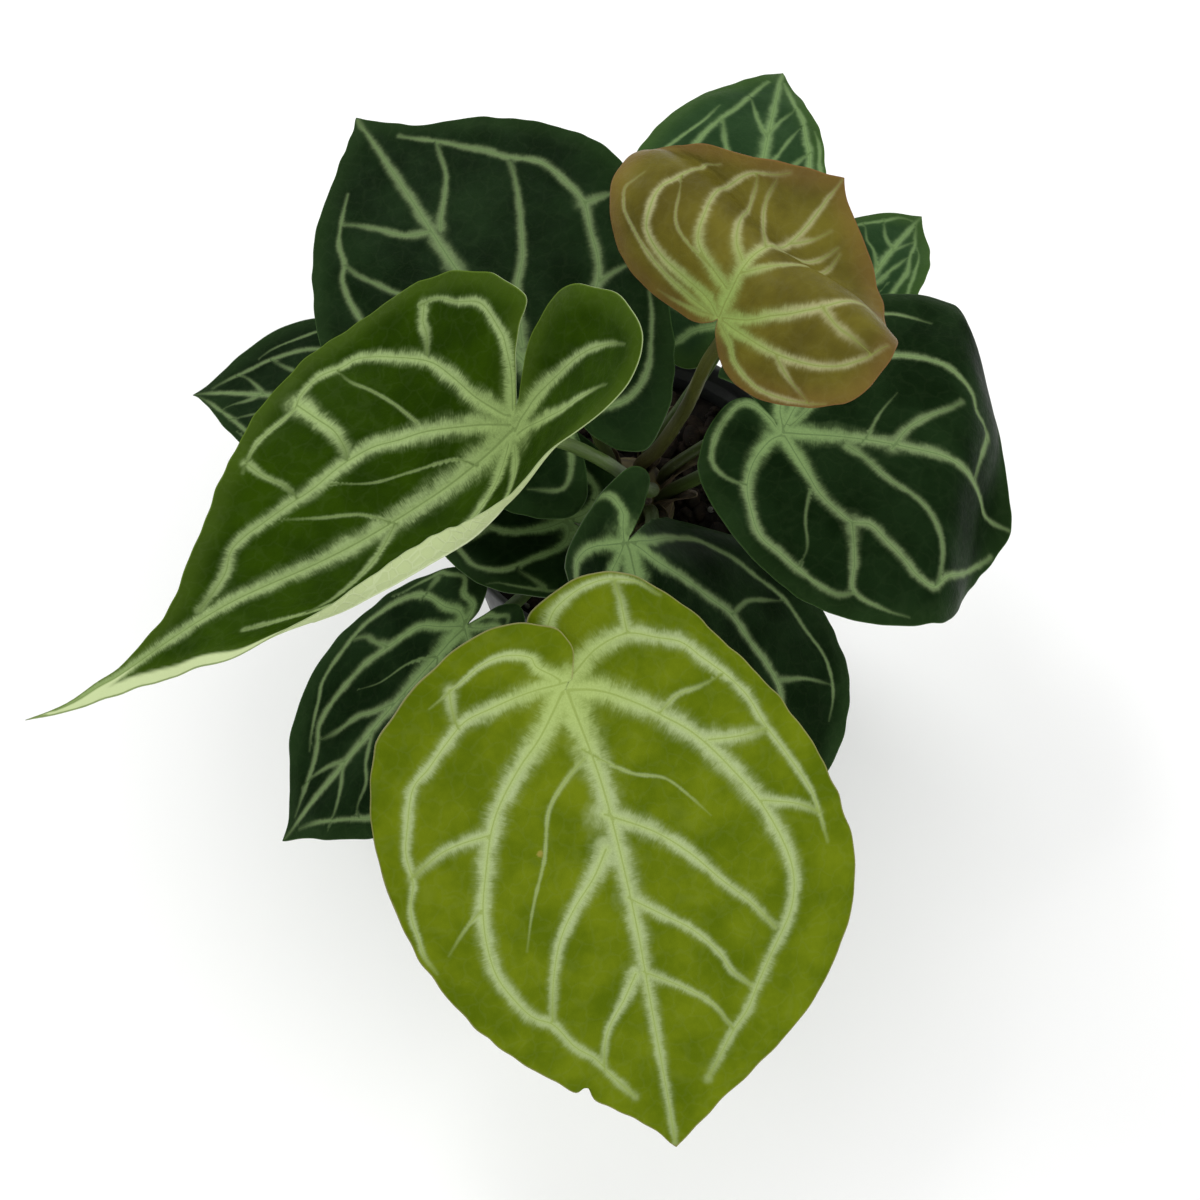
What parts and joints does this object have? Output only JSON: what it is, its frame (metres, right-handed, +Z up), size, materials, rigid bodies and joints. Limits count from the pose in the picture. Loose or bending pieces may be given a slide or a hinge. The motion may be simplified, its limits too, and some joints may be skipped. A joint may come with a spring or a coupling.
{
  "type": "potted plant",
  "caption": "Potted velvet-leaved anthurium: heart-shaped, pale-veined leaves on slender stalks rising from a short crown in a plain round nursery pot of coarse mix.",
  "frame": {"origin": "centre of the pot's flat underside, on the surface that it stands on", "axes": "+Z up; -Y towards the side that the plant leans to and is looked at from, with the largest leaf; +X to the right as seen from there"},
  "size_m": [0.2885, 0.3746, 0.2824],
  "materials": {
    "pot_plastic": "satin moulded plastic",
    "potting_mix": "coarse bark and mineral grit",
    "crown_skin": "papery brown sheaths over a green stem",
    "stalk_skin": "smooth, slightly waxy",
    "lime_blade": "velvety, pale veins",
    "fresh_blade": "velvety, pale veins",
    "deep_blade": "velvety, pale silvery veins",
    "bronze_blade": "thin and silky, pale veins, coppery margin"
  },
  "bodies": {
    "root": {"pot": "pot_plastic", "potting_mix": "potting_mix", "crown": "crown_skin", "blade_front": "lime_blade", "stalk_front": "stalk_skin", "blade_left": "fresh_blade", "stalk_left": "stalk_skin", "blade_young": "bronze_blade", "stalk_young": "stalk_skin", "blade_back_left": "deep_blade", "stalk_back_left": "stalk_skin", "blade_far_left": "deep_blade", "stalk_far_left": "stalk_skin", "blade_low_left": "deep_blade", "stalk_low_left": "stalk_skin", "blade_inner": "deep_blade", "stalk_inner": "stalk_skin", "blade_middle": "deep_blade", "stalk_middle": "stalk_skin", "blade_right": "deep_blade", "stalk_right": "stalk_skin", "blade_back": "deep_blade", "stalk_back": "stalk_skin", "blade_back_right": "deep_blade", "stalk_back_right": "stalk_skin"}
  },
  "joints": []
}
